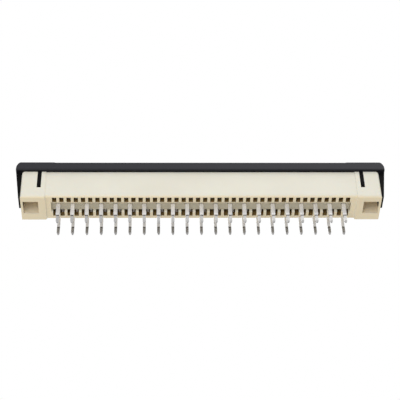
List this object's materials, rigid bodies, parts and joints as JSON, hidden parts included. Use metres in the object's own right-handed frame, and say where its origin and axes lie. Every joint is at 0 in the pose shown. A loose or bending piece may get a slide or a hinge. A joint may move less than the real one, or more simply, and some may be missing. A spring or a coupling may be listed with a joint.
{
  "type": "fpc connector",
  "caption": "Vertical through-hole connector for flat flexible cable, with a locking slider that slides up to free the cable.",
  "frame": {"origin": "centre of the housing's feet, on the face that seats on the circuit board", "axes": "+X along the row of contacts, -Y is the front wall, +Z points away from the board to the side where the cable goes in; the leads point along -Z"},
  "size_m": [0.052, 0.0051, 0.0095],
  "materials": {
    "cream_plastic": "warm cream moulded plastic, fine matt grain",
    "black_plastic": "black moulded plastic, satin",
    "tinned_metal": "tin-plated copper alloy, soft sheen"
  },
  "bodies": {
    "base": {"housing": "cream_plastic", "contact_01": "tinned_metal", "contact_02": "tinned_metal", "contact_03": "tinned_metal", "contact_04": "tinned_metal", "contact_05": "tinned_metal", "contact_06": "tinned_metal", "contact_07": "tinned_metal", "contact_08": "tinned_metal", "contact_09": "tinned_metal", "contact_10": "tinned_metal", "contact_11": "tinned_metal", "contact_12": "tinned_metal", "contact_13": "tinned_metal", "contact_14": "tinned_metal", "contact_15": "tinned_metal", "contact_16": "tinned_metal", "contact_17": "tinned_metal", "contact_18": "tinned_metal", "contact_19": "tinned_metal", "contact_20": "tinned_metal", "contact_21": "tinned_metal", "contact_22": "tinned_metal", "contact_23": "tinned_metal", "contact_24": "tinned_metal", "contact_25": "tinned_metal", "contact_26": "tinned_metal", "contact_27": "tinned_metal", "contact_28": "tinned_metal", "contact_29": "tinned_metal", "contact_30": "tinned_metal", "contact_31": "tinned_metal", "contact_32": "tinned_metal", "contact_33": "tinned_metal", "contact_34": "tinned_metal", "contact_35": "tinned_metal", "contact_36": "tinned_metal", "contact_37": "tinned_metal", "contact_38": "tinned_metal", "contact_39": "tinned_metal", "contact_40": "tinned_metal", "contact_41": "tinned_metal", "contact_42": "tinned_metal"},
    "slider": {"slider": "black_plastic"}
  },
  "joints": [
    {"name": "slider_lift", "type": "slide", "parent": "base", "child": "slider", "axis": [0, 0, 1], "range_m": [0, 0.0012]}
  ]
}
